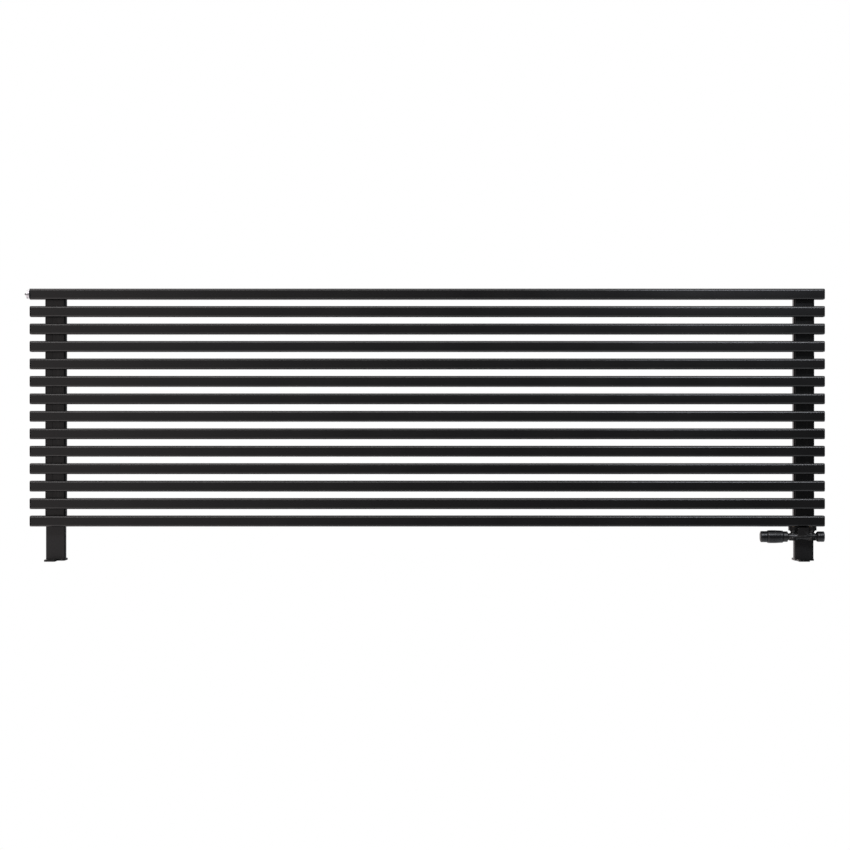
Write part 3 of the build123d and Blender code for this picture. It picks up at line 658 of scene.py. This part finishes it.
class RADIATOR_OT_grip(bpy.types.Operator):
    """The ribbed barrel of the thermostatic head, with the numbers of its dial"""

    bl_idname = "radiator.grip"
    bl_label = "Grip"

    def execute(self, context):
        centre = valve_axis()
        low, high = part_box("head_grip")
        start = centre.x - high.x
        end = centre.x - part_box("head_tip")[1].x
        outer = (high.z - low.z) / 2
        inner = outer - GRIP_TAPER
        span = end - start
        steps = [(start + along, inner + step) for along, step in GRIP_DIAL_STEPS]
        steps.append((start + GRIP_PEAK * span, outer))
        steps += [(end - along, outer + step) for along, step in GRIP_OUTER_STEPS]
        grip = turned("ribbed_grip", steps, centre, -1, GRIP_COLUMNS)
        rib_from = centre.x - start - GRIP_DIAL_STEPS[-1][0]
        rib_to = centre.x - end + GRIP_OUTER_STEPS[0][0]
        bpy.ops.object.mode_set(mode="EDIT")

        def between_ribs(middle, face):
            angle = math.atan2(middle.y - centre.y, middle.z - centre.z) % math.tau
            column = int(angle / (math.tau / GRIP_COLUMNS))
            on_barrel = rib_to < middle.x < rib_from and abs(face.normal.x) < 0.2
            return column % COLUMNS_TO_A_RIB == 0 and on_barrel

        select_where(grip, "FACE", between_ribs)
        bpy.ops.mesh.inset(thickness=RIB_EDGE, depth=-sizes().rib_depth)
        bpy.ops.object.mode_set(mode="OBJECT")
        smooth(grip, CREASE_DEG)
        dress(grip, "head_grip", "head_grip")
        self.number_the_dial(centre, start + DIAL_FROM_END, inner)
        return {"FINISHED"}

    def number_the_dial(self, centre, distance, radius):
        """Raised numbers round the grip, and a mark on the collar that they turn past."""
        joint = next(one for one in frame["joints"] if one["name"] == "grip_turn")
        low, high = joint["range_deg"]
        numbers = []
        for index, label in enumerate(DIAL_NUMBERS):
            share = index / (len(DIAL_NUMBERS) - 1)
            angle = math.radians(DIAL_MARK_DEG - low - (high - low) * share)
            numbers.append(self.raised(label, centre, distance, radius, angle))
        dress(joined(numbers, "dial_numbers"), "head_grip")
        collar_low, collar_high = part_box("head_collar")
        reach = (collar_high.z - collar_low.z) / 2
        bpy.ops.object.select_all(action="DESELECT")
        bpy.ops.mesh.primitive_cube_add(size=1.0, location=(0, 0, 0), scale=DIAL_MARK_SIZE)
        mark = added("dial_mark")
        bpy.ops.object.mode_set(mode="EDIT")
        bpy.ops.mesh.select_all(action="SELECT")
        bpy.ops.mesh.bevel(offset=DIAL_MARK_EDGE, segments=3, affect="EDGES")
        bpy.ops.object.mode_set(mode="OBJECT")
        place = Vector((collar_low.x + DIAL_MARK_FROM_END, centre.y, centre.z))
        turn = Matrix.Rotation(math.radians(DIAL_MARK_DEG), 4, "X")
        mark.data.transform(Matrix.Translation(place) @ turn @ Matrix.Translation((0, 0, reach)))
        dress(smooth(mark, CREASE_DEG), "head_collar")

    def raised(self, label, centre, distance, radius, angle):
        """One raised number, lying on the barrel at an angle from the top towards the front."""
        height = sizes().number_height
        bpy.ops.object.select_all(action="DESELECT")
        bpy.ops.object.text_add(location=(0, 0, 0))
        text = bpy.context.object
        text.data.body = label
        text.data.size = height * TEXT_TO_HEIGHT
        text.data.extrude = sizes().relief
        text.data.bevel_depth = sizes().relief * 0.2
        text.data.align_x = "CENTER"
        text.data.align_y = "CENTER"
        bpy.ops.object.convert(target="MESH")
        text = bpy.context.object
        upright = Matrix.Rotation(math.pi / 2, 4, "Z")
        outwards = Matrix.Rotation(angle, 4, "X") @ Matrix.Translation((0, 0, radius))
        place = Matrix.Translation(centre - Vector((distance, 0, 0)))
        text.data.transform(place @ outwards @ upright)
        text.location = (0, 0, 0)
        return text


class RADIATOR_OT_caps(bpy.types.Operator):
    """The rounded tip of the head and the cap of the lockshield"""

    bl_idname = "radiator.caps"
    bl_label = "Tip and cap"

    def execute(self, context):
        centre = valve_axis()
        low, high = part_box("head_tip")
        radius = (high.z - low.z) / 2
        start, end = centre.x - high.x, centre.x - low.x
        steps = [(start + along, radius + step) for along, step in TIP_STEPS]
        for groove in TIP_GROOVES:
            steps += [(start + groove + along, radius + step) for along, step in GROOVE_STEPS]
        steps += rounded_rim(end, radius, TIP_EDGE, 8)
        steps += [(end - inwards, radius * share) for inwards, share in TIP_HOLLOW]
        tip = smooth(turned("head_tip_rounded", steps, centre, -1), CREASE_DEG)
        dress(tip, "head_tip", "head_tip")

        low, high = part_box("lockshield_cap")
        radius = (high.z - low.z) / 2
        start, end = low.x - centre.x, high.x - centre.x
        steps = [(start + along, radius + step) for along, step in CAP_STEPS]
        steps += rounded_rim(end, radius, CAP_EDGE, 7)
        steps += [(end - inwards, radius * share) for inwards, share in CAP_HOLLOW]
        cap = turned("lockshield_cap_rounded", steps, centre, 1)
        bpy.ops.object.mode_set(mode="EDIT")
        select_where(cap, "FACE", lambda middle, face: face.normal.x < -0.95)
        wall, front = 0.0020, 0.0025
        bpy.ops.mesh.inset(thickness=wall, depth=0)
        bpy.ops.mesh.inset(thickness=0.0, depth=-(end - start - front))
        bpy.ops.object.mode_set(mode="OBJECT")
        smooth(cap, CREASE_DEG)
        dress(cap, "lockshield_cap", "lockshield_cap")
        return {"FINISHED"}


class RADIATOR_OT_vent(bpy.types.Operator):
    """The plated air vent"""

    bl_idname = "radiator.vent"
    bl_label = "Air vent"

    def execute(self, context):
        for node in ("vent_gasket", "vent_body", "vent_swivel_collar", "vent_bleed_screw"):
            from_construction(node)
        return {"FINISHED"}


class RADIATOR_OT_inner_parts(bpy.types.Operator):
    """Finishes for the parts inside, which keep their shapes"""

    bl_idname = "radiator.inner_parts"
    bl_label = "Inner parts"

    def execute(self, context):
        for name, node in frame["nodes"].items():
            if node.hide_render:
                continue
            if not node.material_slots:
                raise RuntimeError(f"{name} has no material slot")
            for place in node.material_slots:
                place.material = bpy.data.materials[finish_name(slot_of(name))]
        return {"FINISHED"}


class RADIATOR_OT_stage(bpy.types.Operator):
    """White floor, soft studio light and the camera"""

    bl_idname = "radiator.stage"
    bl_label = "Stage"

    def execute(self, context):
        scene = context.scene
        scene.view_settings.view_transform = "Standard"
        bpy.ops.object.select_all(action="DESELECT")
        bpy.ops.mesh.primitive_plane_add(size=1.0, location=FLOOR_PLACE, scale=FLOOR_SIZE)
        floor = bpy.context.object
        floor.name = "studio_floor"
        floor.data.materials.append(self.floor_material())
        self.studio_world(scene)
        for lamp in LAMPS:
            self.lamp(*lamp)
        self.place_camera(scene)
        return {"FINISHED"}

    def floor_material(self):
        """White for the eye, with the object's shadow kept."""
        material = bpy.data.materials.new("studio_white")
        material.use_nodes = True
        tree = material.node_tree
        tree.nodes.clear()
        output = tree.nodes.new("ShaderNodeOutputMaterial")
        matt = tree.nodes.new("ShaderNodeBsdfDiffuse")
        matt.inputs["Color"].default_value = FLOOR_TONE
        glow = tree.nodes.new("ShaderNodeEmission")
        glow.inputs["Strength"].default_value = FLOOR_GLOW
        both = tree.nodes.new("ShaderNodeAddShader")
        tree.links.new(matt.outputs[0], both.inputs[0])
        tree.links.new(glow.outputs[0], both.inputs[1])
        path = tree.nodes.new("ShaderNodeLightPath")
        choose = tree.nodes.new("ShaderNodeMixShader")
        camera_ray, glossy_ray = path.outputs["Is Camera Ray"], path.outputs["Is Glossy Ray"]
        seen = link_math(tree, "MAXIMUM", camera_ray, glossy_ray)
        tree.links.new(seen, choose.inputs[0])
        tree.links.new(matt.outputs[0], choose.inputs[1])
        tree.links.new(both.outputs[0], choose.inputs[2])
        tree.links.new(choose.outputs[0], output.inputs["Surface"])
        return material

    def studio_world(self, scene):
        """White panels above and below, a warm wall at the left, and plain white for the eye."""
        world = bpy.data.worlds.new("studio")
        scene.world = world
        world.use_nodes = True
        tree = world.node_tree
        tree.nodes.clear()
        direction = tree.nodes.new("ShaderNodeTexCoord").outputs["Generated"]
        split = tree.nodes.new("ShaderNodeSeparateXYZ")
        tree.links.new(direction, split.inputs[0])
        height = link_math(tree, "ABSOLUTE", split.outputs["Z"], 0.0)
        panels = link_range(tree, height, 0.30, 0.70, HORIZON_LEVEL, 1.0)
        wall = link_range(tree, split.outputs["X"], -0.32, 0.0, LEFT_WALL_LEVEL, 0.0)
        wall_end = link_range(tree, split.outputs["X"], -0.70, -0.45, 0.0, 1.0)
        level = link_math(tree, "ADD", panels, link_math(tree, "MULTIPLY", wall, wall_end))
        tint = tree.nodes.new("ShaderNodeMix")
        tint.data_type = "RGBA"
        tint.inputs["A"].default_value = (*WARM, 1.0)
        tint.inputs["B"].default_value = (*COOL, 1.0)
        across = link_range(tree, split.outputs["X"], -0.25, 0.25, 0.0, 1.0)
        tree.links.new(across, tint.inputs["Factor"])
        light = tree.nodes.new("ShaderNodeBackground")
        tree.links.new(tint.outputs["Result"], light.inputs["Color"])
        tree.links.new(level, light.inputs["Strength"])
        white = tree.nodes.new("ShaderNodeBackground")
        white.inputs["Color"].default_value = (*WHITE, 1.0)
        choose = tree.nodes.new("ShaderNodeMixShader")
        path = tree.nodes.new("ShaderNodeLightPath")
        tree.links.new(path.outputs["Is Camera Ray"], choose.inputs[0])
        tree.links.new(light.outputs[0], choose.inputs[1])
        tree.links.new(white.outputs[0], choose.inputs[2])
        output = tree.nodes.new("ShaderNodeOutputWorld")
        tree.links.new(choose.outputs[0], output.inputs["Surface"])

    def lamp(self, name, place, target, size, power, colour):
        """A soft rectangular lamp that points at a target."""
        data = bpy.data.lights.new(name, "AREA")
        data.shape = "RECTANGLE"
        data.size, data.size_y = size
        data.energy = power
        data.color = colour
        lamp = bpy.data.objects.new(name, data)
        lamp.location = place
        lamp.rotation_euler = (Vector(target) - Vector(place)).to_track_quat("-Z", "Y").to_euler()
        bpy.context.scene.collection.objects.link(lamp)

    def place_camera(self, scene):
        """The photograph's view: level, from straight in front."""
        distance = 6.0
        frame_width = 2.333
        bar_low, bar_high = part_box(BAR_NODES[0])
        eye_shift = -0.0062
        eye_height = 0.3741
        data = bpy.data.cameras.new("camera")
        data.sensor_width = 36.0
        data.lens = data.sensor_width * distance / frame_width
        data.clip_end = 100.0
        camera = bpy.data.objects.new("camera", data)
        middle_x = (bar_low.x + bar_high.x) / 2
        camera.location = (middle_x + eye_shift, bar_low.y - distance, eye_height)
        camera.rotation_euler = (math.pi / 2, 0, 0)
        scene.collection.objects.link(camera)
        scene.camera = camera


class RADIATOR_PT_panel(bpy.types.Panel):
    """Lists the radiator's sizes, colours and pieces"""

    bl_label = "Radiator"
    bl_idname = "RADIATOR_PT_panel"
    bl_space_type = "VIEW_3D"
    bl_region_type = "UI"
    bl_category = "Radiator"

    def draw(self, context):
        for group in (sizes(), finishes()):
            for name in group.__annotations__:
                self.layout.prop(group, name)
        for operator in OPERATORS:
            self.layout.operator(operator.bl_idname)


OPERATORS = (
    RADIATOR_OT_bars,
    RADIATOR_OT_end_caps,
    RADIATOR_OT_collectors,
    RADIATOR_OT_legs,
    RADIATOR_OT_welds,
    RADIATOR_OT_valve,
    RADIATOR_OT_grip,
    RADIATOR_OT_caps,
    RADIATOR_OT_vent,
    RADIATOR_OT_inner_parts,
    RADIATOR_OT_stage,
)
CLASSES = (RadiatorSizes, RadiatorFinishes, *OPERATORS, RADIATOR_PT_panel)


def register():
    """Registers the classes and their settings."""
    for one in CLASSES:
        bpy.utils.register_class(one)
    bpy.types.Scene.radiator_sizes = bpy.props.PointerProperty(type=RadiatorSizes)
    bpy.types.Scene.radiator_finishes = bpy.props.PointerProperty(type=RadiatorFinishes)


def unregister():
    """Removes the settings and the classes."""
    del bpy.types.Scene.radiator_finishes
    del bpy.types.Scene.radiator_sizes
    for one in reversed(CLASSES):
        bpy.utils.unregister_class(one)


def main():
    """Makes every piece in order."""
    register()
    make_finishes()
    bpy.ops.radiator.bars()
    bpy.ops.radiator.end_caps()
    bpy.ops.radiator.collectors()
    bpy.ops.radiator.legs()
    bpy.ops.radiator.welds()
    bpy.ops.radiator.valve()
    bpy.ops.radiator.grip()
    bpy.ops.radiator.caps()
    bpy.ops.radiator.vent()
    bpy.ops.radiator.inner_parts()
    bpy.ops.radiator.stage()


if __name__ == "__main__":
    main()
